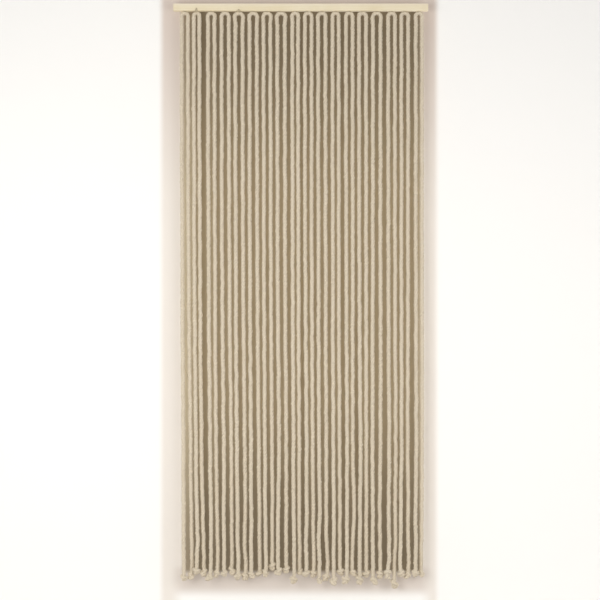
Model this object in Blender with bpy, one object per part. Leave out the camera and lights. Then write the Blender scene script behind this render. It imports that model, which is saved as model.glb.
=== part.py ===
"""Rope door curtain: a wooden batten with a row of looped ropes under it.

Metres, +Z up. The origin is the middle of the batten's back face, which lies on the wall, and the
front faces -Y. Each rope is one solid. It rises from the knot on its left end, bends over in an
arch pressed up to the batten's underside, and drops to the knot on its right end.
"""

import math
from collections import namedtuple

import bpy
from mathutils import Vector

MILLIMETRE = 0.001

# The batten, a plain pine bar with its long edges eased.
BATTEN_LENGTH = 0.900
BATTEN_DEPTH = 0.022
BATTEN_HEIGHT = 0.026
BATTEN_ROUNDING = 0.002
BATTEN_ROUNDING_STEPS = 2

# The rope, and the small gap that keeps touching solids apart.
ROPE_DIAMETER = 0.013
ROPE_RADIUS = ROPE_DIAMETER / 2
SEAT_GAP = 0.0003

# The arch: its shoulders stand a little wider than the two strands that hang from it.
ARCH_BULGE = 0.002
ARCH_STEPS = 6
NECK_DROP = 0.030

# Depths under the batten's top edge at which a strand's sideways place is given. Down to its waist
# a strand moves aside by a set share of what it does at the knee.
WAIST_DEPTH = 1.046
KNEE_DEPTH = 1.576
CALF_DEPTH = 1.795
SHIN_DEPTH = 1.898
ANKLE_DEPTH = 1.960
WAIST_SHARE = 0.35

# Depths at which a strand's outline gets a ring, besides the neck, the ankle and the knot.
RING_DEPTHS = (0.30, 0.68, WAIST_DEPTH, 1.31, KNEE_DEPTH, CALF_DEPTH, SHIN_DEPTH)

# A knot is the rope's own swelling, with a short blunt tail under it.
KNOT_RADIUS = 0.0115
KNOT_TAIL_RADIUS = 0.0060
# Neighbouring knots push each other apart. A rope's left knot hangs this far in front of the batten's
# mid-depth, and its right one only as far as keeps it in front of the wall.
LEFT_KNOT_LEAN = 0.0138
RIGHT_KNOT_LEAN = 0.0008

# A row for each strand, left to right, in millimetres. "top" is its place under the arch, counted
# sideways from the batten's middle. "knee" to "knot" say how far it stands aside of that place lower
# down. "depth" is the knot's middle under the batten's top edge, and "tall" is the knot's height.
Strand = namedtuple("Strand", "top knee calf shin ankle knot depth tall")
STRANDS = [
    Strand(*row)
    for row in (
        (-421.0, 7, 7, 8, 9, 10, 2026, 20),
        (-399.0, 10, 12, 14, 14, 12, 2022, 23),
        (-378.0, 8, 11, 14, 12, 11, 2004, 23),
        (-358.5, 8, 12, 15, 16, 16, 2012, 27),
        (-328.0, 8, 10, 12, 11, 5, 2026, 29),
        (-305.0, 6, 9, 11, 11, 8, 2016, 28),
        (-280.0, 8, 8, 9, 10, 10, 2012, 23),
        (-254.5, 9, 10, 11, 11, 12, 2004, 26),
        (-231.5, 6, 8, 9, 11, 9, 2022, 23),
        (-206.0, 8, 10, 7, 11, 10, 2026, 29),
        (-181.0, 5, 6, 6, 6, 8, 2016, 24),
        (-155.5, 7, 9, 9, 11, 8, 2012, 22),
        (-131.5, 5, 6, 7, 9, 8, 2011, 32),
        (-107.5, 6, 7, 7, 6, 6, 1990, 24),
        (-83.0, 6, 3, 3, 3, 3, 2004, 28),
        (-56.5, 5, 5, 5, 5, 5, 2001, 29),
        (-30.0, 4, 4, 6, 7, 5, 2035, 27),
        (-9.5, 4, 4, 5, 5, 6, 2007, 24),
        (14.5, 6, 6, 4, 5, 3, 2012, 25),
        (38.0, 4, 6, 7, 8, 7, 2016, 24),
        (61.5, 3, 5, 2, 4, 4, 2036, 22),
        (87.0, 3, 3, 4, 7, 3, 2029, 27),
        (112.0, 3, 4, 4, 4, 4, 2039, 25),
        (134.0, 3, 4, 4, 4, 6, 2009, 23),
        (159.5, 4, 3, 3, 3, 0, 2036, 28),
        (183.0, 1, 5, 1, -2, 3, 2012, 23),
        (206.0, 4, 3, 2, 2, 1, 2036, 34),
        (230.5, 1, 1, 1, 1, 0, 2016, 25),
        (255.0, -2, -1, -1, -1, 3, 2039, 28),
        (281.5, 0, -3, -2, -1, -1, 2019, 31),
        (309.0, 3, 1, 2, 2, -2, 2016, 36),
        (332.5, 3, 1, 3, -2, -1, 2050, 38),
        (355.5, 0, -3, -4, -5, -3, 2011, 25),
        (379.5, -2, 0, -1, 2, -3, 2019, 30),
        (406.5, 1, -2, -1, -2, -2, 2011, 29),
        (428.5, 0, -1, -2, -3, -2, 2012, 26),
    )
]

ROPE_Y = -BATTEN_DEPTH / 2
BATTEN_TOP = BATTEN_HEIGHT / 2
ARCH_TOP = -BATTEN_HEIGHT / 2 - SEAT_GAP - ROPE_RADIUS


def clear_scene():
    for thing in list(bpy.data.objects):
        bpy.data.objects.remove(thing, do_unlink=True)


def make_material(name, colour, roughness):
    material = bpy.data.materials.new(name)
    material.use_nodes = True
    shader = material.node_tree.nodes["Principled BSDF"]
    shader.inputs["Base Color"].default_value = (*colour, 1.0)
    shader.inputs["Roughness"].default_value = roughness
    shader.inputs["Metallic"].default_value = 0.0
    return material


def place(name, data, material):
    thing = bpy.data.objects.new(name, data)
    bpy.context.scene.collection.objects.link(thing)
    data.materials.append(material)
    return thing


def make_batten(material):
    """A box whose back face lies in the plane y = 0, with eased edges."""
    half_length = BATTEN_LENGTH / 2
    half_height = BATTEN_HEIGHT / 2
    corners = [
        (x, y, z)
        for x in (-half_length, half_length)
        for y in (-BATTEN_DEPTH, 0.0)
        for z in (-half_height, half_height)
    ]
    faces = [(0, 1, 3, 2), (4, 6, 7, 5), (0, 4, 5, 1), (2, 3, 7, 6), (0, 2, 6, 4), (1, 5, 7, 3)]
    mesh = bpy.data.meshes.new("batten")
    mesh.from_pydata(corners, [], faces)
    batten = place("batten", mesh, material)
    easing = batten.modifiers.new("eased_edges", "BEVEL")
    easing.width = BATTEN_ROUNDING
    easing.segments = BATTEN_ROUNDING_STEPS
    return batten


def smooth_through(stations, depth):
    """The value at a depth on a smooth curve through (depth, value) stations, in rising depth."""
    depths = [station[0] for station in stations]
    values = [station[1] for station in stations]
    slopes = [0.0] * len(stations)
    for i in range(1, len(stations) - 1):
        slopes[i] = (values[i + 1] - values[i - 1]) / (depths[i + 1] - depths[i - 1])
    for i in range(len(stations) - 1):
        if depth <= depths[i + 1]:
            step = depths[i + 1] - depths[i]
            t = (depth - depths[i]) / step
            rise = values[i + 1] - values[i]
            ease = t * t * (3 - 2 * t)
            bend = t * (1 - t) * ((1 - t) * slopes[i] - t * slopes[i + 1])
            return values[i] + rise * ease + bend * step
    return values[-1]


def strand_stations(strand, neck_depth):
    """Where the strand stands sideways at its named depths."""
    return [
        (neck_depth, strand.top * MILLIMETRE),
        (WAIST_DEPTH, (strand.top + WAIST_SHARE * strand.knee) * MILLIMETRE),
        (KNEE_DEPTH, (strand.top + strand.knee) * MILLIMETRE),
        (CALF_DEPTH, (strand.top + strand.calf) * MILLIMETRE),
        (SHIN_DEPTH, (strand.top + strand.shin) * MILLIMETRE),
        (ANKLE_DEPTH, (strand.top + strand.ankle) * MILLIMETRE),
        (strand.depth * MILLIMETRE, (strand.top + strand.knot) * MILLIMETRE),
    ]


def knot_rings(strand):
    """(depth, radius) of the rings that swell the rope's end into its knot."""
    middle = strand.depth * MILLIMETRE
    half = strand.tall * MILLIMETRE / 2
    return [
        (middle - half - 0.004, ROPE_RADIUS),
        (middle - 0.35 * half, KNOT_RADIUS),
        (middle + 0.35 * half, KNOT_RADIUS),
        (middle + half, KNOT_TAIL_RADIUS),
    ]


def strand_points(strand, neck_depth, lean):
    """(place, radius) from the neck under the arch down to the knot's tail."""
    stations = strand_stations(strand, neck_depth)
    rings = [(depth, ROPE_RADIUS) for depth in (neck_depth, *RING_DEPTHS)]
    knot = knot_rings(strand)
    if knot[0][0] - ANKLE_DEPTH > ROPE_DIAMETER:
        rings.append((ANKLE_DEPTH, ROPE_RADIUS))
    rings += knot
    lowest = strand.depth * MILLIMETRE
    points = []
    for depth, radius in rings:
        share = min(depth / lowest, 1.0)
        aside = smooth_through(stations, depth)
        fore = ROPE_Y - lean * share**3
        points.append((Vector((aside, fore, BATTEN_TOP - depth)), radius))
    return points


def rope_points(left, right):
    """(place, radius) along one rope, from its left tail over the arch to its right tail."""
    middle = (left.top + right.top) / 2 * MILLIMETRE
    spread = (right.top - left.top) * MILLIMETRE
    arch_radius = (spread + ARCH_BULGE) / 2
    shoulder = ARCH_TOP - arch_radius
    neck_depth = BATTEN_TOP - shoulder + NECK_DROP
    arch = []
    for i in range(ARCH_STEPS + 1):
        angle = math.pi * (1 - i / ARCH_STEPS)
        aside = middle + arch_radius * math.cos(angle)
        height = shoulder + arch_radius * math.sin(angle)
        arch.append((Vector((aside, ROPE_Y, height)), ROPE_RADIUS))
    up = strand_points(left, neck_depth, LEFT_KNOT_LEAN)
    down = strand_points(right, neck_depth, RIGHT_KNOT_LEAN)
    return list(reversed(up)) + arch + down


def make_rope(name, points, material):
    curve = bpy.data.curves.new(name, "CURVE")
    curve.dimensions = "3D"
    curve.fill_mode = "FULL"
    curve.bevel_depth = 1.0
    curve.bevel_resolution = 2
    curve.use_fill_caps = True
    spline = curve.splines.new("POLY")
    spline.points.add(len(points) - 1)
    for bend, (spot, radius) in zip(spline.points, points):
        bend.co = (*spot, 1.0)
        bend.radius = radius
    spline.use_smooth = True
    return place(name, curve, material)


def build():
    clear_scene()
    pine = make_material("pine", (0.80, 0.70, 0.50), 0.55)
    cotton = make_material("cotton_rope", (0.66, 0.58, 0.45), 0.95)
    make_batten(pine)
    for i in range(0, len(STRANDS), 2):
        number = i // 2 + 1
        make_rope(f"rope_{number:02d}", rope_points(STRANDS[i], STRANDS[i + 1]), cotton)


build()
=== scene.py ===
"""Looks of the rope door curtain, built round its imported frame.

Every rope is modelled as three strands laid round each other, bent over under the batten and tied in an
overhand knot at each end. A rope is cut in two at the top of its arch, so that each half is a cord that
leaves the batten there. The batten keeps its own solid and gets its wood.
"""

import math
from collections import namedtuple

import bpy
import numpy as np
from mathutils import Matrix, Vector


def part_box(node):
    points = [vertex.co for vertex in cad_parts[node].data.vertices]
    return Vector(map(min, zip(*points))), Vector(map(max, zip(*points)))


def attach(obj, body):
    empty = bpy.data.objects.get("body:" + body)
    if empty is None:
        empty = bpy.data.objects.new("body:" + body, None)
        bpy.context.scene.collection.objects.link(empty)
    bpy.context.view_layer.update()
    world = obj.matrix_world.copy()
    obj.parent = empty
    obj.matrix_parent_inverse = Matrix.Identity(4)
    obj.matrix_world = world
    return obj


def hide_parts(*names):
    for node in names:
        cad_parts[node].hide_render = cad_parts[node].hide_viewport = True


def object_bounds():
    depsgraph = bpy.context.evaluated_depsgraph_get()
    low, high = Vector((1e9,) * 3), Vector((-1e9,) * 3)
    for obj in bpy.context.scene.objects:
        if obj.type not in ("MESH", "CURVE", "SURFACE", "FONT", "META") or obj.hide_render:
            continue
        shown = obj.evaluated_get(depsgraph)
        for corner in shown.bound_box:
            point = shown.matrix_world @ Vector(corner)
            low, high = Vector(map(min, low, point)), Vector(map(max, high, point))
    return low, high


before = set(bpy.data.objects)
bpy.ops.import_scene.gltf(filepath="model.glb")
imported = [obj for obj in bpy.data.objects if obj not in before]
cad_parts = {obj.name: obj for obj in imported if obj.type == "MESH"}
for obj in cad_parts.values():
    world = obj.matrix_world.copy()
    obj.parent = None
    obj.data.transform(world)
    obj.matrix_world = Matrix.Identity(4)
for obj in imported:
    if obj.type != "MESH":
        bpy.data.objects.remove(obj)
CAD_LOW, CAD_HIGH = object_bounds()

MILLIMETRE = 0.001

# The route of the ropes, as in the part's own source.
ROPE_DIAMETER = 0.013
ROPE_RADIUS = ROPE_DIAMETER / 2
SEAT_GAP = 0.0003
NECK_DROP = 0.030
WAIST_DEPTH = 1.046
KNEE_DEPTH = 1.576
CALF_DEPTH = 1.795
SHIN_DEPTH = 1.898
ANKLE_DEPTH = 1.960
WAIST_SHARE = 0.35
LEFT_KNOT_LEAN = 0.0138
RIGHT_KNOT_LEAN = 0.0008

# A row for each strand, left to right, in millimetres. "top" is its place under the arch, counted
# sideways from the batten's middle. "knee" to "knot" say how far it stands aside of that place lower
# down. "depth" is the knot's middle under the batten's top edge, and "tall" is the knot's height.
Strand = namedtuple("Strand", "top knee calf shin ankle knot depth tall")
STRANDS = [
    Strand(*row)
    for row in (
        (-421.0, 7, 7, 8, 9, 10, 2026, 20),
        (-399.0, 10, 12, 14, 14, 12, 2022, 23),
        (-378.0, 8, 11, 14, 12, 11, 2004, 23),
        (-358.5, 8, 12, 15, 16, 16, 2012, 27),
        (-328.0, 8, 10, 12, 11, 5, 2026, 29),
        (-305.0, 6, 9, 11, 11, 8, 2016, 28),
        (-280.0, 8, 8, 9, 10, 10, 2012, 23),
        (-254.5, 9, 10, 11, 11, 12, 2004, 26),
        (-231.5, 6, 8, 9, 11, 9, 2022, 23),
        (-206.0, 8, 10, 7, 11, 10, 2026, 29),
        (-181.0, 5, 6, 6, 6, 8, 2016, 24),
        (-155.5, 7, 9, 9, 11, 8, 2012, 22),
        (-131.5, 5, 6, 7, 9, 8, 2011, 32),
        (-107.5, 6, 7, 7, 6, 6, 1990, 24),
        (-83.0, 6, 3, 3, 3, 3, 2004, 28),
        (-56.5, 5, 5, 5, 5, 5, 2001, 29),
        (-30.0, 4, 4, 6, 7, 5, 2035, 27),
        (-9.5, 4, 4, 5, 5, 6, 2007, 24),
        (14.5, 6, 6, 4, 5, 3, 2012, 25),
        (38.0, 4, 6, 7, 8, 7, 2016, 24),
        (61.5, 3, 5, 2, 4, 4, 2036, 22),
        (87.0, 3, 3, 4, 7, 3, 2029, 27),
        (112.0, 3, 4, 4, 4, 4, 2039, 25),
        (134.0, 3, 4, 4, 4, 6, 2009, 23),
        (159.5, 4, 3, 3, 3, 0, 2036, 28),
        (183.0, 1, 5, 1, -2, 3, 2012, 23),
        (206.0, 4, 3, 2, 2, 1, 2036, 34),
        (230.5, 1, 1, 1, 1, 0, 2016, 25),
        (255.0, -2, -1, -1, -1, 3, 2039, 28),
        (281.5, 0, -3, -2, -1, -1, 2019, 31),
        (309.0, 3, 1, 2, 2, -2, 2016, 36),
        (332.5, 3, 1, 3, -2, -1, 2050, 38),
        (355.5, 0, -3, -4, -5, -3, 2011, 25),
        (379.5, -2, 0, -1, 2, -3, 2019, 30),
        (406.5, 1, -2, -1, -2, -2, 2011, 29),
        (428.5, 0, -1, -2, -3, -2, 2012, 26),
    )
]

# A row for each rope, in millimetres. "bulge" is how much further apart the arch's shoulders stand than
# its two strands do. "left" and "right" are how far each strand is nipped in just under its shoulder.
Arch = namedtuple("Arch", "bulge left right")
ARCHES = [
    Arch(*row)
    for row in (
        (1, 1, 1), (0, 0, 0), (2, 2, 3), (1, 0, 1), (4, 6, 1), (3, 1, 1),
        (3, 0, 3), (4, 1, 3), (1, 2, 0), (1, 2, 0), (2, 0, 0), (0, 0, 1),
        (0, 1, 0), (1, 0, 0), (3, 0, 1), (1, 0, 0), (1, 0, 2), (1, 2, 0),
    )
]
# The nip's depth under the batten's top edge, and how far it reaches up and down.
NIP_DEPTH = 0.060
NIP_SPREAD = 0.016
# Over this length above its knot, a strand eases forward or back to where the knot's lead is.
LEAD_IN = 0.060
# Pressed up to the batten, an arch is a little squarer than a half circle: 2 is round, more is squarer.
ARCH_SQUARENESS = 2.06
ARCH_STEPS = 24

# A row for each strand's knot. "wide" and "tall" are its size in millimetres. "front" is 1 where the
# strand comes into it in front of the knot's body and 0 where it comes in behind. "roll" is how far the
# body is tipped sideways, in degrees. "hand" is -1 where it is tied the other way round. "tail" is how far
# the rope's end reaches out under it, in millimetres.
Knot = namedtuple("Knot", "wide tall front roll hand tail")
KNOTS = [
    Knot(*row)
    for row in (
        (27, 24, 1, 10, 1, 2), (23, 28, 0, 0, -1, 3), (29, 25, 1, 14, 1, 2), (25, 28, 0, -12, 1, 7),
        (28, 28, 1, -14, -1, 7), (22, 28, 1, 4, 1, 4), (25, 24, 1, -6, -1, 3), (27, 30, 0, 4, -1, 3),
        (26, 26, 1, -14, -1, 3), (27, 29, 1, 14, 1, 6), (24, 25, 0, 0, -1, 2), (29, 23, 1, 8, -1, 1),
        (21, 31, 1, 0, 1, 7), (28, 30, 1, -8, -1, 4), (28, 28, 0, 6, 1, 4), (25, 28, 1, -6, -1, 6),
        (28, 28, 1, 10, 1, 3), (21, 25, 0, 14, 1, 5), (27, 26, 1, -8, -1, 3), (29, 26, 1, 16, 1, 2),
        (21, 23, 0, 0, -1, 2), (27, 28, 1, 12, 1, 5), (28, 30, 0, -10, 1, 3), (29, 26, 1, -12, -1, 2),
        (28, 30, 1, 6, 1, 5), (30, 25, 0, 8, -1, 2), (28, 34, 1, 4, 1, 9), (32, 25, 1, -10, -1, 3),
        (28, 30, 0, -10, -1, 6), (29, 30, 1, 14, 1, 4), (25, 36, 1, 20, 1, 7), (28, 34, 1, 0, 1, 2),
        (26, 27, 1, 8, -1, 3), (25, 29, 0, -10, 1, 4), (27, 27, 1, 8, 1, 3), (21, 29, 0, -4, -1, 3),
    )
]

# A knot is built this much bigger than the size in its row, because its round lobes reach its full size
# only here and there. Its depth is a share of its mean size, and the rope in it is squeezed to another.
KNOT_FULLNESS = 1.12
KNOT_SQUEEZE = 0.51
KNOT_DEPTH_SHARE = 0.83
DEEPEST_KNOT = 0.0225
# How much of the knot's straight lead above its body belongs to it, and over how many diameters up the
# lead the knot's roll fades out. The knot is turned in steps, up to the widest turn in degrees.
KNOT_LEAD = 0.0095
LEAD_DIAMETERS = 1.0
WIDEST_TURN = 75
TURN_STEP = 3

# The loose overhand knot that is tightened, in rope diameters: its scale on each axis, its points, and
# how far its two leads reach above and below its middle.
LOOSE_KNOT = (0.95, 0.75, 0.30)
LOOSE_POINTS = 300
LOOSE_HALF_HEIGHT = 5.0
# Tightening goes by rounds of shortening pulls and pushes apart. Places that are nearer to each other
# along the line than the clear length don't push.
KNOT_ROUNDS = 300
KNOT_LINE_STEP = 0.22
FIRST_POINTS = 160
CLEAR_OF_ITSELF = 1.6
PULLS, PULL_SHARE = 6, 0.35
PUSHES, PUSH_SHARE = 4, 1.5

# The rope's thickness changes where it enters the knot and where its tail comes out of it: how far before
# the knot's start or the rope's end the change begins, and over what length it goes.
ENTRY_BEFORE, ENTRY_LENGTH = 0.004, 0.012
OPENING_BEFORE, OPENING_LENGTH = 0.012, 0.008
TAIL_RADIUS = 0.0054
# The tail ends in a dome, with rings at these shares of its height.
DOME_LENGTH = 0.0035
DOME_SHARES = (0.0, 0.45, 0.75, 0.93, 0.995)

# A row for each tuft of frayed yarn that laps up over the batten's lower front edge: the rope it grows
# from, counted from 0, and in millimetres its height above that edge and half its width there.
Tuft = namedtuple("Tuft", "rope height half_width")
TUFTS = (Tuft(1, 10.5, 6.5), Tuft(4, 5.0, 7.5))
TUFT_YARNS = 36
TUFT_YARN_RADIUS = 0.0006
TUFT_STEPS = 8
TUFT_SEED = 500
# The shortest yarn's share of the tuft's height, how far yarns stand off each other in front of the
# batten, how low they bend under its edge, how their tips scatter, and how much thinner they end.
SHORTEST_YARN = 0.45
YARN_LAYERS = 0.0009
YARN_BEND_LOWEST, YARN_BEND_HIGHEST = 0.0052, 0.0020
YARN_TIP_SCATTER = 0.0005
YARN_TAPER = 0.75
# Where a yarn's root is, in front of the rope's middle and above the arch's. Then, for its climb and its
# tip, its place in front of the batten and what is left of its place aside, because the tuft closes.
YARN_ROOT_FRONT, YARN_ROOT_RISE = 0.0050, 0.0030
YARN_BEND_FRONT = 0.0030
YARN_CLIMB_FRONT, YARN_CLIMB_ASIDE, YARN_CLIMB_RISE = 0.0022, 0.60, 0.2
YARN_TIP_FRONT, YARN_TIP_ASIDE = 0.0009, 0.15

# The rope's own surface: three strands laid right-handed. One turn of the lay takes the lay's length,
# which differs a little from rope to rope and drifts along it, by waves of (length, swing in radians).
LAY_LENGTH = 0.0377
LAY_SPREAD = 0.03
LAY_DRIFTS = ((0.530, 0.55), (0.170, 0.30))
LAID_STRANDS = 3
STRAND_SPREAD = 0.20
# A ring's corners, the strands' crests over the middle line and the depth and form of their grooves.
SIDES = 15
CREST_RADIUS = 0.00728
GROOVE_SHARE = 0.22
GROOVE_POWER = 0.8
# Slubs are lumps in the yarn, on each corner and, as a share of that, on stretches of some rings.
SLUB_HEIGHT = 0.00028
SLUB_STRETCH = 5
SLUB_STRETCH_SHARE = 0.6
SLUB_BLUR = np.array([1.0, 3.0, 4.0, 3.0, 1.0]) / 6.0
# Rings stand closest in the knot, then in the arch with its first stretch of strand, then in the run.
FINE_STEP = 0.0014
ARCH_STEP = 0.0019
ARCH_STRETCH = 0.075
RUN_STEP = 0.0027
# The middle line's points, the reach of its smoothing, and the waves (length, height) by which a strand
# wanders. They fade in under the neck and out above the knot, and their lengths swell and shrink.
LINE_STEP = 0.001
SMOOTHING = 0.0015
WANDERS = ((0.230, 0.0006), (0.090, 0.0003), (0.037, 0.00030), (0.016, 0.00022))
WANDER_FADE_IN, WANDER_FADE_OUT = 0.08, 0.03
WANDER_SWELL, WANDER_SWELL_RATE = 0.25, 5.3
WANDER_SEED = 100

BATTEN_LOW, BATTEN_HIGH = (Vector(corner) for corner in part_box("batten"))
ROPE_Y = (BATTEN_LOW.y + BATTEN_HIGH.y) / 2
BATTEN_TOP = BATTEN_HIGH.z
ARCH_TOP = BATTEN_LOW.z - SEAT_GAP - ROPE_RADIUS

# The camera stands level with the middle of the picture, square to the curtain. The picture's side is
# measured in the plane of the batten's front.
PICTURE_SIDE = 2.1162
CAMERA_DISTANCE = 5.3
CAMERA_X = -0.0027
CAMERA_DEPTH = 1.0465
SENSOR = 36.0

Light = namedtuple("Light", "name place size watts colour")
LIGHTS = (
    Light("key", (-1.35, -2.6, -0.85), 1.7, 41.0, (1.0, 0.985, 0.96)),
    Light("fill", (1.7, -2.6, -1.0), 2.0, 30.0, (1.0, 0.98, 0.965)),
    Light("back", (1.2, 3.6, -0.2), 3.0, 110.0, (1.0, 0.99, 0.98)),
)
LIGHTS_TARGET = (0.0, 0.0, -0.95)
SKY_TONE = (0.93, 0.92, 0.91, 1.0)
SKY_STRENGTH = 0.45

# The stage: a floor under the lowest knot, and a wall behind the ropes with a painted taupe shade that
# ends at a depth under the batten's top edge.
FLOOR_DROP = 0.070
FLOOR_REACH = 9.0
WALL_Y = 0.030
WALL_REACH = 3.0
WALL_TOP = 1.6
SHADE_FOOT = 2.014
SHADE_SOFTNESS = 0.010
# Spans of x or z, in the direction in which a tone of the wall fades in: the lighter painted shade behind
# the leftmost rope, the warm painted shade round the curtain, and the change of tone down it.
LIT_LEFT = (-0.366, -0.397)
SHADE_ZONE_LEFT = (-0.510, -0.482)
SHADE_ZONE_RIGHT = (0.498, 0.470)
SHADE_ZONE_TOP = (0.45, 0.10)
SHADE_ZONE_FALL = (0.10, -0.80)
# The painted shade is lightest at mid-height: distances from there at which it starts and ends to darken.
GAP_SHADE_ENDS = (0.30, 1.02)
# The knots' soft shadow: how far it reaches aside, and how it runs out below the shade's foot.
KNOT_SHADOW_ASIDE = (0.050, 0.010)
KNOT_SHADOW_ABOVE = 0.030
KNOT_SHADOW_BELOW = (0.050, 0.098)

# Tones, as linear red, green and blue with alpha.
COTTON = (0.662, 0.580, 0.447, 1.0)
COTTON_PALE = (0.684, 0.604, 0.474, 1.0)
COTTON_FLECK = (0.770, 0.695, 0.565, 1.0)
COTTON_FIBRE = (0.470, 0.380, 0.270, 1.0)
# Painted shade in the grooves between the rope's strands.
COTTON_GROOVE_SHADE = (0.330, 0.255, 0.170, 1.0)
# Painted shade on the rope's faces that look down.
COTTON_UNDERSIDE_SHADE = (0.360, 0.300, 0.225, 1.0)
COTTON_SHEEN = (1.0, 0.95, 0.86, 1.0)
# Painted shade: the darker tone of the frayed tufts.
FRAYED_SHADE = (0.465, 0.390, 0.260, 1.0)
FRAYED_SHADE_PALE = (0.620, 0.540, 0.400, 1.0)
PINE = (0.755, 0.668, 0.470, 1.0)
PINE_PALE = (0.800, 0.725, 0.540, 1.0)
# Painted light on the bar's upper half.
PINE_PAINTED_LIGHT = (0.815, 0.735, 0.610, 1.0)
PINE_LATE_WOOD = (0.640, 0.500, 0.290, 1.0)
PINE_STREAK = (0.690, 0.570, 0.370, 1.0)
PINE_PORE = (0.600, 0.470, 0.300, 1.0)
FLOOR = (0.80, 0.785, 0.76, 1.0)
FLOOR_PALE = (0.83, 0.815, 0.79, 1.0)
WALL_WHITE = (0.93, 0.925, 0.91, 1.0)
# Painted shade round the curtain, darkest at its top, and the painted shadow under the knots.
WALL_SHADE_ZONE_TOP = (0.675, 0.590, 0.535, 1.0)
WALL_SHADE_ZONE = (0.81, 0.765, 0.715, 1.0)
WALL_KNOT_SHADOW = (0.675, 0.615, 0.568, 1.0)
# Painted shade behind the ropes, and its lighter part behind the leftmost rope.
GAP_SHADE = (0.458, 0.386, 0.272, 1.0)
GAP_SHADE_END = (0.272, 0.228, 0.164, 1.0)
GAP_SHADE_LIT = (0.640, 0.565, 0.418, 1.0)
GAP_SHADE_LIT_END = (0.380, 0.320, 0.238, 1.0)


# ---------------------------------------------------------------- camera and lights


def aim(thing, target):
    thing.rotation_mode = "QUATERNION"
    thing.rotation_quaternion = (Vector(target) - thing.location).to_track_quat("-Z", "Y")


def add_camera():
    lens = bpy.data.cameras.new("camera")
    lens.sensor_width = SENSOR
    lens.lens = SENSOR * CAMERA_DISTANCE / PICTURE_SIDE
    camera = bpy.data.objects.new("camera", lens)
    bpy.context.scene.collection.objects.link(camera)
    height = BATTEN_TOP - CAMERA_DEPTH
    camera.location = (CAMERA_X, BATTEN_LOW.y - CAMERA_DISTANCE, height)
    aim(camera, (CAMERA_X, 0.0, height))
    bpy.context.scene.camera = camera


def add_lights():
    for row in LIGHTS:
        lamp = bpy.data.lights.new(row.name, "AREA")
        lamp.shape = "SQUARE"
        lamp.size = row.size
        lamp.energy = row.watts
        lamp.color = row.colour
        light = bpy.data.objects.new(row.name, lamp)
        light.location = row.place
        light.visible_camera = False
        aim(light, LIGHTS_TARGET)
        bpy.context.scene.collection.objects.link(light)
    world = bpy.data.worlds.new("studio")
    bpy.context.scene.world = world
    world.use_nodes = True
    sky = world.node_tree.nodes["Background"]
    sky.inputs["Color"].default_value = SKY_TONE
    sky.inputs["Strength"].default_value = SKY_STRENGTH


# ---------------------------------------------------------------- material nodes


class Nodes:
    """A material's node tree, with a short way to add and link its nodes."""

    def __init__(self, name):
        self.material = bpy.data.materials.new(name)
        self.material.use_nodes = True
        self.tree = self.material.node_tree
        self.shader = self.tree.nodes["Principled BSDF"]
        self.output = self.tree.nodes["Material Output"]

    def feed(self, socket, value):
        if isinstance(value, bpy.types.NodeSocket):
            self.tree.links.new(value, socket)
        else:
            socket.default_value = value

    def add(self, kind, inputs=None, **settings):
        node = self.tree.nodes.new(kind)
        for key, value in settings.items():
            setattr(node, key, value)
        for key, value in (inputs or {}).items():
            self.feed(node.inputs[key], value)
        return node

    def math(self, operation, first, second=0.0):
        return self.add("ShaderNodeMath", {0: first, 1: second}, operation=operation).outputs[0]

    def remap(self, value, low, high, new_low=0.0, new_high=1.0):
        """value from low..high to new_low..new_high, with soft ends."""
        inputs = {0: value, 1: low, 2: high, 3: new_low, 4: new_high}
        node = self.add("ShaderNodeMapRange", inputs, interpolation_type="SMOOTHSTEP")
        return node.outputs[0]

    def mix(self, share, first, second):
        node = self.add("ShaderNodeMix", data_type="RGBA")
        self.feed(node.inputs[0], share)
        self.feed(node.inputs[6], first)
        self.feed(node.inputs[7], second)
        return node.outputs[2]

    def noise(self, place, scale, detail=2.0, roughness=0.5, distortion=0.0):
        inputs = {
            "Vector": place,
            "Scale": scale,
            "Detail": detail,
            "Roughness": roughness,
            "Distortion": distortion,
        }
        return self.add("ShaderNodeTexNoise", inputs).outputs[0]

    def join(self, x, y, z):
        return self.add("ShaderNodeCombineXYZ", {0: x, 1: y, 2: z}).outputs[0]

    def stretch(self, axes, scales):
        """The place whose axes are given, with each one scaled by its own factor."""
        return self.join(*(self.math("MULTIPLY", axis, scale) for axis, scale in zip(axes, scales)))

    def multiply(self, *values):
        """The product of some values."""
        product = values[0]
        for value in values[1:]:
            product = self.math("MULTIPLY", product, value)
        return product

    def split(self, vector):
        return self.add("ShaderNodeSeparateXYZ", {0: vector}).outputs

    def bump(self, height, strength, distance, normal=None):
        node = self.add("ShaderNodeBump", {"Height": height, "Strength": strength, "Distance": distance})
        if normal is not None:
            self.feed(node.inputs["Normal"], normal)
        return node.outputs[0]


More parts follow.
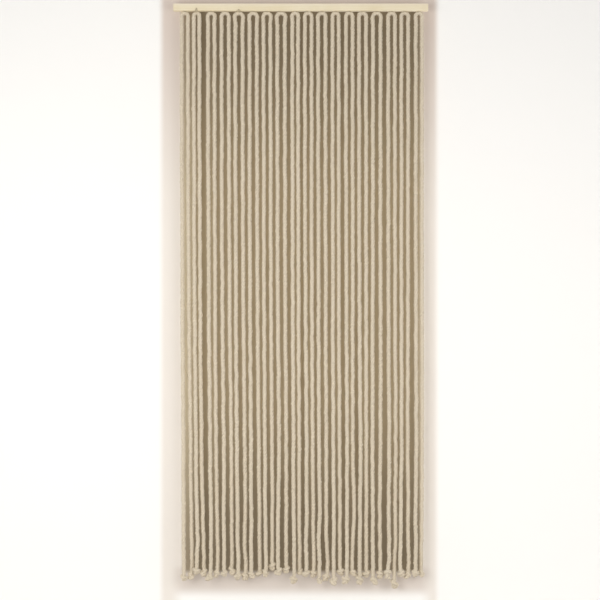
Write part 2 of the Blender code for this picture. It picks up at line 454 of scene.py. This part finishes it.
def rope_material():
    """Undyed cotton: three soft strands of fine yarns, with painted shade in their grooves, and a fibrous
    nap.
    """
    nodes = Nodes("cotton_rope")
    turn, along, _ = nodes.split(nodes.add("ShaderNodeUVMap", uv_map="lay").outputs[0])
    place = nodes.add("ShaderNodeTexCoord").outputs["Object"]

    # How near a point is to the groove between two strands: 0 on a strand's crest, 1 in the groove.
    across = nodes.math("FRACT", turn)
    off_crest = nodes.math("MULTIPLY", nodes.math("ABSOLUTE", nodes.math("SUBTRACT", across, 0.5)), 2.0)
    groove = nodes.remap(off_crest, 0.62, 1.0)

    # The yarns run along the rope, so they cross the strands' own slope.
    slant = nodes.math("ADD", turn, nodes.math("MULTIPLY", along, LAID_STRANDS / LAY_LENGTH))
    ragged = nodes.math("MULTIPLY", nodes.noise(place, 320.0, 2.0), 0.30)
    yarns_in_strand = 7
    yarn_phase = nodes.math("MULTIPLY", nodes.math("ADD", slant, ragged), 2 * math.pi * yarns_in_strand)
    yarns = nodes.math("MULTIPLY", nodes.math("SINE", yarn_phase), 0.5)
    fibre_place = nodes.join(nodes.math("MULTIPLY", slant, 9.0), nodes.math("MULTIPLY", along, 130.0), 0.0)
    fibres = nodes.noise(fibre_place, 3.0, 4.0, 0.65, 0.6)
    nap = nodes.noise(place, 900.0, 3.0, 0.6)
    blotch = nodes.noise(place, 14.0, 3.0, 0.55)
    fleck = nodes.noise(place, 210.0, 3.0, 0.6)

    tone = nodes.mix(nodes.remap(blotch, 0.3, 0.7), COTTON, COTTON_PALE)
    tone = nodes.mix(nodes.remap(fleck, 0.35, 0.75, 0.0, 0.30), tone, COTTON_FLECK)
    tone = nodes.mix(nodes.remap(fibres, 0.45, 0.25, 0.0, 0.40), tone, COTTON_FIBRE)
    # Painted shade in the grooves between the strands.
    tone = nodes.mix(nodes.math("MULTIPLY", groove, 0.12), tone, COTTON_GROOVE_SHADE)
    # Faces that look down, under knots and inside arches, are a little darker: painted shade.
    upward = nodes.split(nodes.add("ShaderNodeNewGeometry").outputs["Normal"])[2]
    tone = nodes.mix(nodes.remap(upward, -0.25, -0.95, 0.0, 0.50), tone, COTTON_UNDERSIDE_SHADE)
    nodes.feed(nodes.shader.inputs["Base Color"], tone)

    nodes.feed(nodes.shader.inputs["Roughness"], nodes.remap(nap, 0.3, 0.7, 0.86, 1.0))
    nodes.shader.inputs["Specular IOR Level"].default_value = 0.15
    nodes.shader.inputs["Sheen Weight"].default_value = 0.50
    nodes.shader.inputs["Sheen Roughness"].default_value = 0.55
    nodes.shader.inputs["Sheen Tint"].default_value = COTTON_SHEEN

    height = nodes.math("ADD", nodes.math("MULTIPLY", yarns, 0.55), nodes.math("MULTIPLY", fibres, 1.1))
    normal = nodes.bump(height, 0.55, 0.0006)
    normal = nodes.bump(nap, 0.55, 0.0005, normal)
    nodes.feed(nodes.shader.inputs["Normal"], normal)
    return nodes.material


def batten_material():
    """Pale planed pine: long faint grain along the bar, rings on its ends, with painted light on its upper
    half.
    """
    nodes = Nodes("pale_pine")
    place = nodes.add("ShaderNodeTexCoord").outputs["Object"]
    axes = nodes.split(place)
    x, y, z = axes
    # The rings are round the tree's heart, which lies outside the bar and slants away along it.
    heart_y, heart_z, heart_slant, ring_width = 0.050, 0.030, 0.006, 0.0042
    waver = nodes.math("MULTIPLY", nodes.noise(place, 5.0, 2.0), 0.012)
    radius_y = nodes.math("ADD", y, heart_y)
    radius_z = nodes.math("ADD", nodes.math("ADD", z, heart_z), waver)
    square = nodes.math("ADD", nodes.math("POWER", radius_y, 2.0), nodes.math("POWER", radius_z, 2.0))
    ring_radius = nodes.math("ADD", nodes.math("SQRT", square), nodes.math("MULTIPLY", x, heart_slant))
    ring = nodes.math("SINE", nodes.math("MULTIPLY", ring_radius, 2 * math.pi / ring_width))
    late_wood = nodes.remap(ring, 0.2, 1.0)
    streaks = nodes.noise(nodes.stretch(axes, (4.0, 260.0, 260.0)), 1.0, 4.0, 0.6)
    pores = nodes.noise(nodes.stretch(axes, (40.0, 1500.0, 1500.0)), 1.0, 2.0, 0.5)
    blotch = nodes.noise(place, 9.0, 2.0)

    tone = nodes.mix(nodes.remap(blotch, 0.3, 0.7), PINE, PINE_PALE)
    # Painted light makes the bar's upper half paler.
    tone = nodes.mix(nodes.remap(z, -0.002, 0.014, 0.0, 0.75), tone, PINE_PAINTED_LIGHT)
    tone = nodes.mix(nodes.math("MULTIPLY", late_wood, 0.28), tone, PINE_LATE_WOOD)
    tone = nodes.mix(nodes.remap(streaks, 0.50, 0.80, 0.0, 0.35), tone, PINE_STREAK)
    tone = nodes.mix(nodes.remap(pores, 0.55, 0.75, 0.0, 0.25), tone, PINE_PORE)
    nodes.feed(nodes.shader.inputs["Base Color"], tone)
    nodes.feed(nodes.shader.inputs["Roughness"], nodes.remap(streaks, 0.3, 0.7, 0.48, 0.62))
    nodes.shader.inputs["Specular IOR Level"].default_value = 0.35
    grain = nodes.math("ADD", nodes.math("MULTIPLY", late_wood, 0.4), streaks)
    normal = nodes.bump(grain, 0.25, 0.0004)
    normal = nodes.bump(pores, 0.20, 0.0002, normal)
    nodes.feed(nodes.shader.inputs["Normal"], normal)
    return nodes.material


# ---------------------------------------------------------------- routes


def evenly(points, count):
    """The same line with count points spaced evenly along it, and its length."""
    gaps = np.linalg.norm(np.diff(points, axis=0), axis=1)
    along = np.concatenate([[0.0], np.cumsum(gaps)])
    marks = np.linspace(0.0, along[-1], count)
    return np.stack([np.interp(marks, along, points[:, k]) for k in range(3)], axis=1), along[-1]


def tightened_knot():
    """The middle line of an overhand knot pulled tight, in rope diameters, from its top lead downwards.

    A loose knot's line is shortened again and again, like a stretched elastic, while any two places on
    it that come nearer than a diameter push each other away. Both leads are kept hanging straight.
    """
    t = np.linspace(-2.0, 2.0, LOOSE_POINTS)
    wide, deep, tall = LOOSE_KNOT
    loose = np.stack([wide * (t**3 - 3 * t), deep * (t**4 - 4 * t**2 + 2), tall * (t**5 - 10 * t)], axis=1)
    low = (loose[0, 0], loose[0, 1], -LOOSE_HALF_HEIGHT)
    high = (loose[-1, 0], loose[-1, 1], LOOSE_HALF_HEIGHT)
    line = np.concatenate([[low], loose, [high]])
    length = evenly(line, FIRST_POINTS)[1]
    for _ in range(KNOT_ROUNDS):
        count = int(length / KNOT_LINE_STEP)
        line, length = evenly(line, count)
        for _ in range(PULLS):
            line[1:-1] += PULL_SHARE * (0.5 * (line[2:] + line[:-2]) - line[1:-1])
            line[0, :2] = line[1, :2]
            line[-1, :2] = line[-2, :2]
        apart = math.ceil(CLEAR_OF_ITSELF * (count - 1) / length)
        first, second = np.triu_indices(count, apart)
        for _ in range(PUSHES):
            gap = line[second] - line[first]
            size = np.linalg.norm(gap, axis=1)
            near = size < 1.0
            if not near.any():
                break
            push = (0.5 * (1.0 - size[near]) / size[near])[:, None] * gap[near]
            total = np.zeros_like(line)
            hits = np.ones(count)
            np.add.at(total, second[near], push)
            np.add.at(total, first[near], -push)
            np.add.at(hits, second[near], 1)
            np.add.at(hits, first[near], 1)
            line += PUSH_SHARE * total / np.maximum(hits - 1, 1)[:, None]
    line = line[::-1]
    # The body runs from where the line first turns upwards to where it last does so.
    rising = np.flatnonzero(np.diff(line[:, 2]) > 0)
    return line, slice(rising[0], rising[-1] + 2)


def knot_rope(knot):
    """How thick the rope is where the knot squeezes it."""
    return min(KNOT_SQUEEZE * math.sqrt(knot.wide * knot.tall) * MILLIMETRE, ROPE_DIAMETER)


def turned_knot(tight, body, knot, turn):
    """The knot's middle line about its own middle, turned so that its lead comes in at an angle.

    At 0 the lead is in front of the body and at its middle, and at 180 degrees it is behind.
    """
    tail = knot.tail * MILLIMETRE
    rope = knot_rope(knot)
    depth = min(KNOT_DEPTH_SHARE * math.sqrt(knot.wide * knot.tall) * MILLIMETRE, DEEPEST_KNOT)
    wide = KNOT_FULLNESS * knot.wide * MILLIMETRE
    tall = KNOT_FULLNESS * knot.tall * MILLIMETRE - tail / 2
    size = (wide - rope, depth - rope, tall - rope)
    x, y, z = (tight * (knot.hand, 1.0, 1.0)).T
    x -= (x[body].min() + x[body].max()) / 2
    y -= (y[body].min() + y[body].max()) / 2
    angle = math.radians(turn) - math.atan2(x[0], -y[0])
    x, y = x * math.cos(angle) - y * math.sin(angle), x * math.sin(angle) + y * math.cos(angle)
    # The roll fades out up the lead, so the strand still comes in from straight above.
    above = np.clip((z - z[body].max()) / LEAD_DIAMETERS, 0.0, 1.0)
    above[body.start:] = 0.0
    roll = math.radians(knot.roll) * (1 - above * above * (3 - 2 * above))
    x, z = x * np.cos(roll) - z * np.sin(roll), x * np.sin(roll) + z * np.cos(roll)
    line = []
    for values, extent in zip((x, y, z), size):
        low, high = values[body].min(), values[body].max()
        line.append((values - (low + high) / 2) * extent / (high - low))
    line = np.stack(line, axis=1)
    kept = (line[:, 2] < size[2] / 2 + KNOT_LEAD) & (line[:, 2] > -size[2] / 2 - tail)
    kept[body] = True
    return line[kept]


def placed_knot(tight, body, strand, knot, lean):
    """The knot's middle line in its place, turned until its lead is under the strand's own line."""
    aside = (strand.ankle - strand.knot) * MILLIMETRE
    straight = 0 if knot.front else 180
    turns = range(straight - WIDEST_TURN, straight + WIDEST_TURN + 1, TURN_STEP)
    lines = [turned_knot(tight, body, knot, turn) for turn in turns]
    line = min(lines, key=lambda tried: abs(tried[0, 0] - aside))
    return line + (
        (strand.top + strand.knot) * MILLIMETRE,
        ROPE_Y - lean,
        BATTEN_TOP - strand.depth * MILLIMETRE + knot.tail * MILLIMETRE / 4,
    )


def smooth_through(stations, depth):
    """The values at some depths on a smooth curve through (depth, value) stations, in rising depth."""
    depths = np.array([station[0] for station in stations])
    values = np.array([station[1] for station in stations])
    slopes = np.zeros(len(stations))
    slopes[1:-1] = (values[2:] - values[:-2]) / (depths[2:] - depths[:-2])
    i = np.clip(np.searchsorted(depths, depth) - 1, 0, len(stations) - 2)
    step = depths[i + 1] - depths[i]
    t = np.clip((depth - depths[i]) / step, 0.0, 1.0)
    rise = values[i + 1] - values[i]
    ease = t * t * (3 - 2 * t)
    bend = t * (1 - t) * ((1 - t) * slopes[i] - t * slopes[i + 1])
    return values[i] + rise * ease + bend * step


def strand_run(strand, nip, lean, neck_depth, knot_start, wander_seed):
    """The strand's line from the neck under its arch to the lead of its knot."""
    start_depth = BATTEN_TOP - knot_start[2]
    stations = [
        (neck_depth, strand.top * MILLIMETRE),
        (WAIST_DEPTH, (strand.top + WAIST_SHARE * strand.knee) * MILLIMETRE),
        (KNEE_DEPTH, (strand.top + strand.knee) * MILLIMETRE),
        (CALF_DEPTH, (strand.top + strand.calf) * MILLIMETRE),
        (SHIN_DEPTH, (strand.top + strand.shin) * MILLIMETRE),
        (start_depth, knot_start[0]),
    ]
    if start_depth - ANKLE_DEPTH > 2 * ROPE_DIAMETER:
        stations.insert(-1, (ANKLE_DEPTH, (strand.top + strand.ankle) * MILLIMETRE))
    depth = np.arange(neck_depth, start_depth - RUN_STEP, RUN_STEP)
    x = smooth_through(stations, depth)
    x += nip * np.exp(-(((depth - NIP_DEPTH) / NIP_SPREAD) ** 2))
    share = depth / (strand.depth * MILLIMETRE)
    y = ROPE_Y - lean * share**3
    lead_in = np.clip(1 - (start_depth - depth) / LEAD_IN, 0.0, 1.0)
    y += (knot_start[1] - y[-1]) * lead_in * lead_in * (3 - 2 * lead_in)
    random = np.random.default_rng(wander_seed)
    under_neck = np.clip((depth - neck_depth) / WANDER_FADE_IN, 0.0, 1.0)
    above_knot = np.clip((start_depth - depth) / WANDER_FADE_OUT, 0.0, 1.0)
    free = under_neck * above_knot
    for wave_length, height in WANDERS:
        for axis in (x, y):
            phase = random.uniform(0.0, 2 * math.pi)
            uneven = 1.0 + WANDER_SWELL * np.sin(depth * WANDER_SWELL_RATE + phase)
            axis += free * height * np.sin(2 * math.pi * depth / wave_length * uneven + phase)
    return np.stack([x, y, BATTEN_TOP - depth], axis=1)


def half_rope(strand, arch, nip, knot, side, lean, middle, tight, body, seed):
    """One half of a rope from the arch's top to its tail: its line, its length and where its knot starts."""
    spread = abs(strand.top * MILLIMETRE - middle) * 2
    arch_radius = (spread + arch.bulge * MILLIMETRE) / 2
    shoulder = ARCH_TOP - arch_radius
    neck_depth = BATTEN_TOP - shoulder + NECK_DROP
    angle = np.linspace(math.pi / 2, 0.0, ARCH_STEPS)
    power = 2 / ARCH_SQUARENESS
    bow = np.stack(
        [
            middle + side * arch_radius * np.cos(angle) ** power,
            np.full(ARCH_STEPS, ROPE_Y),
            shoulder + arch_radius * np.sin(angle) ** power,
        ],
        axis=1,
    )
    bow[0, 0] = middle
    ends = placed_knot(tight, body, strand, knot, lean)
    run = strand_run(strand, -side * nip * MILLIMETRE, lean, neck_depth, ends[0], seed)
    line = np.concatenate([bow, run, ends])
    line, length = evenly(line, int(np.linalg.norm(np.diff(line, axis=0), axis=1).sum() / LINE_STEP))
    line = softened(line, length / (len(line) - 1))
    knot_length = np.linalg.norm(np.diff(ends, axis=0), axis=1).sum()
    return line, length, length - knot_length + KNOT_LEAD


def softened(line, step):
    """The line with its small kinks smoothed out, its two ends kept."""
    reach = int(3 * SMOOTHING / step) + 1
    weights = np.exp(-0.5 * (np.arange(-reach, reach + 1) * step / SMOOTHING) ** 2)
    weights /= weights.sum()
    before = 2 * line[0] - line[reach:0:-1]
    after = 2 * line[-1] - line[-2:-reach - 2:-1]
    padded = np.concatenate([before, line, after])
    return np.stack([np.convolve(padded[:, k], weights, "valid") for k in range(3)], axis=1)


# ---------------------------------------------------------------- rope surface


def ring_marks(length, knot_start):
    """Where the rings stand along a half rope, counted from the arch's top."""
    arch = np.arange(0.0, ARCH_STRETCH, ARCH_STEP)
    run = np.arange(ARCH_STRETCH, knot_start, RUN_STEP)
    knot = np.arange(knot_start, length - DOME_LENGTH, FINE_STEP)
    dome = length - DOME_LENGTH * (1 - np.array(DOME_SHARES))
    return np.concatenate([arch, run, knot, dome])


def ring_radii(marks, length, knot_start, squeezed):
    """The rope's radius at each ring: full, then squeezed in the knot, opening again at the tail."""
    def ease(value):
        value = np.clip(value, 0.0, 1.0)
        return value * value * (3 - 2 * value)

    entry = ease((marks - knot_start + ENTRY_BEFORE) / ENTRY_LENGTH)
    opening = ease((marks - (length - OPENING_BEFORE)) / OPENING_LENGTH)
    radii = CREST_RADIUS + (squeezed - CREST_RADIUS) * entry + (TAIL_RADIUS - squeezed) * opening
    into_dome = np.clip((marks - (length - DOME_LENGTH)) / DOME_LENGTH, 0.0, 1.0)
    return radii * np.sqrt(1 - into_dome**2)


def transported_frames(line):
    """A normal and a side direction at each point, carried along the line without twist."""
    tangents = np.gradient(line, axis=0)
    tangents /= np.linalg.norm(tangents, axis=1, keepdims=True)
    normals = np.empty_like(line)
    normal = np.array([0.0, 1.0, 0.0])
    for i, tangent in enumerate(tangents):
        normal = normal - tangent * (normal @ tangent)
        normal /= math.sqrt(normal @ normal)
        normals[i] = normal
    return normals, np.cross(tangents, normals)


def rope_surface(line, marks, radii, random):
    """Ring corners of a laid rope: (ring, side, xyz)."""
    normals, sides = transported_frames(line)
    around = np.arange(SIDES) * 2 * math.pi / SIDES
    crest = np.abs(np.sin(LAID_STRANDS * around / 2)) ** GROOVE_POWER
    crest *= np.repeat(1 + STRAND_SPREAD * random.uniform(-1.0, 1.0, LAID_STRANDS), SIDES // LAID_STRANDS)
    shape = 1 - GROOVE_SHARE + GROOVE_SHARE * crest
    lay_turns = marks / (LAY_LENGTH * (1 + LAY_SPREAD * random.uniform(-1.0, 1.0)))
    lay = 2 * math.pi * (lay_turns + random.uniform())
    for wave_length, swing in LAY_DRIFTS:
        lay += swing * np.sin(2 * math.pi * (marks / wave_length + random.uniform()))
    slub = random.standard_normal((len(marks), SIDES))
    slub = (slub + np.roll(slub, 1, axis=1)) / math.sqrt(2)
    stretches = random.standard_normal((len(marks) // SLUB_STRETCH + 1, SIDES))
    slub = slub + SLUB_STRETCH_SHARE * np.repeat(stretches, SLUB_STRETCH, axis=0)[: len(marks)]
    slub = np.stack([np.convolve(slub[:, k], SLUB_BLUR, "same") for k in range(SIDES)], axis=1)
    out = radii[:, None] * (shape[None, :] + SLUB_HEIGHT / CREST_RADIUS * slub)
    angle = around[None, :] + lay[:, None]
    return (
        line[:, None, :]
        + (out * np.cos(angle))[:, :, None] * normals[:, None, :]
        + (out * np.sin(angle))[:, :, None] * sides[:, None, :]
    )


def tube_mesh(name, rings, marks):
    """A closed tube through the rings, with a map of turns round the rope and metres along it."""
    count = len(rings)
    corners = rings.reshape(-1, 3)
    caps = np.array([rings[0].mean(axis=0), rings[-1].mean(axis=0)])
    vertices = np.concatenate([corners, caps])
    ring = np.arange(count - 1)[:, None] * SIDES
    side = np.arange(SIDES)[None, :]
    following = (side + 1) % SIDES
    quads = np.stack([ring + side, ring + following, ring + SIDES + following, ring + SIDES + side], axis=-1)
    quads = quads.reshape(-1, 4)
    # Each end is closed by a fan round a middle corner, which come after the rings' own corners.
    corner = np.arange(SIDES)
    next_corner = (corner + 1) % SIDES
    last_ring = (count - 1) * SIDES
    first = np.stack([corner, np.full(SIDES, count * SIDES), next_corner], axis=1)
    last_middle = np.full(SIDES, count * SIDES + 1)
    last = np.stack([last_ring + corner, last_ring + next_corner, last_middle], axis=1)
    loops = np.concatenate([quads.ravel(), first.ravel(), last.ravel()])
    starts = np.concatenate([np.arange(len(quads)) * 4, len(quads) * 4 + np.arange(2 * SIDES) * 3])
    mesh = bpy.data.meshes.new(name)
    mesh.vertices.add(len(vertices))
    mesh.vertices.foreach_set("co", vertices.ravel())
    mesh.loops.add(len(loops))
    mesh.loops.foreach_set("vertex_index", loops.astype(np.int32))
    mesh.polygons.add(len(starts))
    mesh.polygons.foreach_set("loop_start", starts.astype(np.int32))

    quad_shape = (count - 1, SIDES, 4)
    quad_sides = np.stack([side, side + 1, side + 1, side], axis=-1)
    turns = LAID_STRANDS / SIDES * np.broadcast_to(quad_sides, quad_shape)
    quad_marks = np.stack([marks[:-1], marks[:-1], marks[1:], marks[1:]], axis=-1)
    lays = [(turns, np.broadcast_to(quad_marks[:, None, :], quad_shape))]
    for fan, mark in ((first, marks[0]), (last, marks[-1])):
        lays.append((fan % SIDES * LAID_STRANDS / SIDES, np.full(fan.shape, mark)))
    layer = mesh.uv_layers.new(name="lay")
    lays = [np.stack(lay, axis=-1).reshape(-1, 2) for lay in lays]
    layer.data.foreach_set("uv", np.concatenate(lays).ravel())
    mesh.update(calc_edges=True)
    mesh.validate()
    mesh.shade_smooth()
    # Sharp edges round the flat ends keep the ends out of the side's shading, so no crease shows where
    # two halves of a rope meet.
    ends = np.empty(2 * len(mesh.edges), dtype=np.int32)
    mesh.edges.foreach_get("vertices", ends)
    ends = ends.reshape(-1, 2)
    first_ring = (ends < SIDES).all(axis=1)
    end_ring = ((ends >= last_ring) & (ends < count * SIDES)).all(axis=1)
    mesh.edges.foreach_set("use_edge_sharp", first_ring | end_ring)
    return mesh


def make_rope(number, tight, body, material):
    """Both halves of a rope, each its own cord from the arch's top to its knot."""
    left, right = STRANDS[2 * number], STRANDS[2 * number + 1]
    arch = ARCHES[number]
    middle = (left.top + right.top) / 2 * MILLIMETRE
    halves = []
    for side, strand, knot, nip, lean in (
        (-1, left, KNOTS[2 * number], arch.left, LEFT_KNOT_LEAN),
        (1, right, KNOTS[2 * number + 1], arch.right, RIGHT_KNOT_LEAN),
    ):
        seed = WANDER_SEED + 2 * number + (side > 0)
        line, length, knot_start = half_rope(strand, arch, nip, knot, side, lean, middle, tight, body, seed)
        marks = ring_marks(length, knot_start)
        spots = np.linspace(0.0, length, len(line))
        centres = np.stack([np.interp(marks, spots, line[:, k]) for k in range(3)], axis=1)
        halves.append((marks, centres, ring_radii(marks, length, knot_start, knot_rope(knot) / 2)))

    # The whole rope is skinned in one go, from the left tail to the right one, so that its lay runs on
    # unbroken over the arch. It is then cut at the arch's top, at a ring that both halves share.
    (left_marks, left_line, left_radii), (right_marks, right_line, right_radii) = halves
    marks = np.concatenate([-left_marks[::-1], right_marks[1:]])
    line = np.concatenate([left_line[::-1], right_line[1:]])
    radii = np.concatenate([left_radii[::-1], right_radii[1:]])
    rings = rope_surface(line, marks, radii, np.random.default_rng(number))
    # Where it is pressed up to the batten, the soft rope is flattened.
    rings[..., 2] = np.minimum(rings[..., 2], BATTEN_LOW.z - SEAT_GAP)
    top = len(left_marks) - 1
    for name, part in (("left", slice(0, top + 1)), ("right", slice(top, None))):
        own_rings, own_line, own_marks = rings[part], line[part], marks[part]
        mesh = tube_mesh(f"strand_{number + 1:02d}_{name}", own_rings, own_marks)
        mesh.materials.append(material)
        piece = bpy.data.objects.new(mesh.name, mesh)
        bpy.context.scene.collection.objects.link(piece)
        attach(piece, "root")
        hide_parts(f"rope_{number + 1:02d}")


def frayed_material():
    """The same cotton where it is frayed, in a darker tone that is painted shade among its yarns, with a
    fine nap.
    """
    nodes = Nodes("frayed_cotton")
    place = nodes.add("ShaderNodeTexCoord").outputs["Object"]
    # The darker tone is painted shade among the yarns.
    tone = nodes.mix(nodes.noise(place, 900.0, 3.0), FRAYED_SHADE, FRAYED_SHADE_PALE)
    nodes.feed(nodes.shader.inputs["Base Color"], tone)
    nodes.shader.inputs["Roughness"].default_value = 0.95
    nodes.shader.inputs["Specular IOR Level"].default_value = 0.1
    nodes.feed(nodes.shader.inputs["Normal"], nodes.bump(nodes.noise(place, 2500.0), 0.5, 0.0002))
    return nodes.material


def make_tuft(tuft, material):
    """Yarn ends that stand up from an arch's top, lean out round the batten's edge and close to a point."""
    left, right = STRANDS[2 * tuft.rope], STRANDS[2 * tuft.rope + 1]
    middle = (left.top + right.top) / 2 * MILLIMETRE
    random = np.random.default_rng(TUFT_SEED + tuft.rope)
    name = f"tuft_{tuft.rope + 1:02d}"
    curve = bpy.data.curves.new(name, "CURVE")
    curve.dimensions = "3D"
    curve.fill_mode = "FULL"
    curve.bevel_depth = TUFT_YARN_RADIUS
    curve.bevel_resolution = 1
    curve.use_fill_caps = True
    edge = BATTEN_LOW.z
    front = BATTEN_LOW.y
    t = np.linspace(0.0, 1.0, TUFT_STEPS)[:, None]
    for _ in range(TUFT_YARNS):
        aside = tuft.half_width * MILLIMETRE * random.uniform(-1.0, 1.0)
        rise = tuft.height * MILLIMETRE * random.uniform(SHORTEST_YARN, 1.0)
        out = random.uniform(0.0, YARN_LAYERS)
        low = random.uniform(YARN_BEND_HIGHEST, YARN_BEND_LOWEST)
        scatter = random.uniform(-YARN_TIP_SCATTER, YARN_TIP_SCATTER)
        root = (middle + aside, ROPE_Y - YARN_ROOT_FRONT, ARCH_TOP + YARN_ROOT_RISE)
        bend = (middle + aside, front - YARN_BEND_FRONT - out, edge - low)
        climb_x = middle + YARN_CLIMB_ASIDE * aside
        climb = (climb_x, front - YARN_CLIMB_FRONT - out, edge + YARN_CLIMB_RISE * rise)
        tip = (middle + YARN_TIP_ASIDE * aside + scatter, front - YARN_TIP_FRONT - out, edge + rise)
        root, bend, climb, tip = np.array([root, bend, climb, tip])
        points = (1 - t) ** 3 * root + 3 * t * (1 - t) ** 2 * bend + 3 * t**2 * (1 - t) * climb + t**3 * tip
        spline = curve.splines.new("POLY")
        spline.points.add(TUFT_STEPS - 1)
        for i, spot in enumerate(points):
            spline.points[i].co = (*spot, 1.0)
            spline.points[i].radius = 1.0 - YARN_TAPER * (i / (TUFT_STEPS - 1)) ** 2
    curve.materials.append(material)
    piece = bpy.data.objects.new(name, curve)
    bpy.context.scene.collection.objects.link(piece)
    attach(piece, "root")


# ---------------------------------------------------------------- stage


def floor_material():
    nodes = Nodes("studio_floor")
    place = nodes.add("ShaderNodeTexCoord").outputs["Object"]
    tone = nodes.mix(nodes.noise(place, 3.0), FLOOR, FLOOR_PALE)
    nodes.feed(nodes.shader.inputs["Base Color"], tone)
    nodes.shader.inputs["Roughness"].default_value = 0.9
    return nodes.material


def wall_material(low, high):
    """A pale wall, with a painted taupe shade behind the ropes. It is one-sided, so that it hides nothing
    from behind.

    low and high are the (x, z) corners of the shade.
    """
    nodes = Nodes("studio_wall")
    x, _, z = nodes.split(nodes.add("ShaderNodeTexCoord").outputs["Object"])
    soft = SHADE_SOFTNESS
    inside = nodes.multiply(
        nodes.remap(x, low[0] - soft, low[0] + soft),
        nodes.remap(x, high[0] + soft, high[0] - soft),
        nodes.remap(z, low[1] - soft, low[1] + soft),
        nodes.remap(z, high[1] + soft, high[1] - soft),
    )
    # The painted taupe shade is darker towards its top and its foot.
    from_middle = nodes.math("ABSOLUTE", nodes.math("SUBTRACT", z, (low[1] + high[1]) / 2))
    end_share = nodes.remap(from_middle, *GAP_SHADE_ENDS)
    taupe = nodes.mix(end_share, GAP_SHADE, GAP_SHADE_END)
    # Behind the leftmost rope the painted shade is lighter, as more light gets in there.
    lit = nodes.mix(end_share, GAP_SHADE_LIT, GAP_SHADE_LIT_END)
    taupe = nodes.mix(nodes.remap(x, *LIT_LEFT), taupe, lit)

    # Round the curtain the wall carries a warm painted shade, darkest beside and above the batten. Under the
    # knots it carries their painted soft shadow, and under that it runs out to white.
    around = nodes.mix(nodes.remap(z, *SHADE_ZONE_FALL), WALL_SHADE_ZONE_TOP, WALL_SHADE_ZONE)
    shade_zone = nodes.multiply(
        nodes.remap(x, *SHADE_ZONE_LEFT),
        nodes.remap(x, *SHADE_ZONE_RIGHT),
        nodes.remap(z, *SHADE_ZONE_TOP),
    )
    plain = nodes.mix(shade_zone, WALL_WHITE, around)
    fading, gone = KNOT_SHADOW_BELOW
    lower = nodes.mix(nodes.remap(z, low[1] - fading, low[1] - gone), WALL_KNOT_SHADOW, WALL_WHITE)
    outer, inner = KNOT_SHADOW_ASIDE
    near = nodes.multiply(
        nodes.remap(x, low[0] - outer, low[0] + inner),
        nodes.remap(x, high[0] + outer, high[0] - inner),
        nodes.remap(z, low[1] + KNOT_SHADOW_ABOVE, low[1]),
    )
    tone = nodes.mix(near, plain, lower)
    tone = nodes.mix(inside, tone, taupe)
    nodes.feed(nodes.shader.inputs["Base Color"], tone)
    nodes.shader.inputs["Roughness"].default_value = 0.95
    nodes.shader.inputs["Specular IOR Level"].default_value = 0.0
    clear = nodes.add("ShaderNodeBsdfTransparent").outputs[0]
    behind = nodes.add("ShaderNodeNewGeometry").outputs["Backfacing"]
    mixed = nodes.add("ShaderNodeMixShader", {0: behind, 1: nodes.shader.outputs[0], 2: clear}).outputs[0]
    nodes.feed(nodes.output.inputs["Surface"], mixed)
    return nodes.material


def add_plane(name, corners, material):
    mesh = bpy.data.meshes.new(name)
    mesh.from_pydata(corners, [], [(0, 1, 2, 3)])
    mesh.materials.append(material)
    plane = bpy.data.objects.new(name, mesh)
    bpy.context.scene.collection.objects.link(plane)
    return plane


def add_stage():
    floor_z = CAD_LOW.z - FLOOR_DROP
    turning = ((-1, -1), (1, -1), (1, 1), (-1, 1))
    add_plane("floor", [(FLOOR_REACH * x, FLOOR_REACH * y, floor_z) for x, y in turning], floor_material())
    shade_low = (STRANDS[0].top * MILLIMETRE, BATTEN_TOP - SHADE_FOOT)
    shade_high = (STRANDS[-1].top * MILLIMETRE, 0.0)
    corners = ((-1, floor_z), (1, floor_z), (1, WALL_TOP), (-1, WALL_TOP))
    wall = add_plane(
        "wall",
        [(WALL_REACH * x, WALL_Y, z) for x, z in corners],
        wall_material(shade_low, shade_high),
    )
    wall.visible_shadow = False


def main():
    add_camera()
    tight, body = tightened_knot()
    cotton = rope_material()
    for number in range(len(STRANDS) // 2):
        make_rope(number, tight, body, cotton)
    frayed = frayed_material()
    for tuft in TUFTS:
        make_tuft(tuft, frayed)
    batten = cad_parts["batten"]
    batten.material_slots[0].material = batten_material()
    add_lights()
    add_stage()
    bpy.context.scene.view_settings.view_transform = "Standard"


main()
